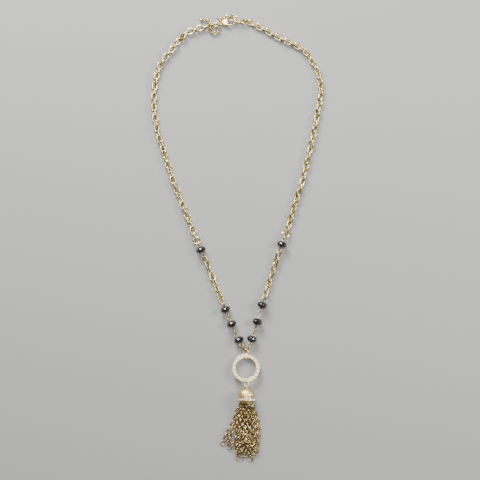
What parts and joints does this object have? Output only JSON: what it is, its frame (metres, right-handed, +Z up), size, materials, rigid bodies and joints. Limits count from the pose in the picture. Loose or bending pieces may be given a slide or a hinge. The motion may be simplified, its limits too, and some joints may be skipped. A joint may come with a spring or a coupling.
{
  "type": "y necklace",
  "caption": "Long cable-chain y necklace with black faceted beads, a ring of clear stones and a capped chain tassel.",
  "frame": {"origin": "middle of the box round the necklace, on the surface it lies on", "axes": "+X to the picture's right, +Y from the tassel to the clasp, +Z up from the surface"},
  "size_m": [0.1382, 0.3562, 0.0142],
  "materials": {
    "gold": "polished pale gold plating",
    "dark_gold": "darker gold plating, brown in the recesses",
    "black_glass": "polished black cut glass",
    "clear_stone": "clear cut stones with a bright back"
  },
  "bodies": {
    "necklace": {"chain_left": "gold", "chain_right": "gold", "end_loop_left": "gold", "end_loop_right": "gold", "short_chain_left": "gold", "short_chain_right": "gold", "bead_left_1": "black_glass", "bead_left_2": "black_glass", "bead_left_3": "black_glass", "bead_left_4": "black_glass", "bead_right_1": "black_glass", "bead_right_2": "black_glass", "bead_right_3": "black_glass", "bead_right_4": "black_glass", "pin_left_1": "dark_gold", "pin_left_2": "dark_gold", "pin_left_3": "dark_gold", "pin_left_4": "dark_gold", "pin_right_1": "dark_gold", "pin_right_2": "dark_gold", "pin_right_3": "dark_gold", "pin_right_4": "dark_gold", "drop_link_left": "dark_gold", "drop_link_right": "dark_gold", "stone_ring": "gold", "ring_stones": "clear_stone", "tassel_cap": "gold", "cap_stones": "clear_stone", "tassel": "dark_gold", "clasp_body": "gold", "clasp_chain": "gold", "clasp_ring": "gold", "extension_chain": "gold", "extension_drop": "gold"},
    "lever": {"clasp_lever": "gold"}
  },
  "joints": [
    {"name": "clasp_lever_hinge", "type": "hinge", "parent": "necklace", "child": "lever", "pos_m": [-0.00901, 0.17099, 0.0026], "axis": [0, 0, 1], "range_deg": [0, 18], "stiffness_Nm_per_rad": 0.0004, "springref_deg": -11.46}
  ]
}
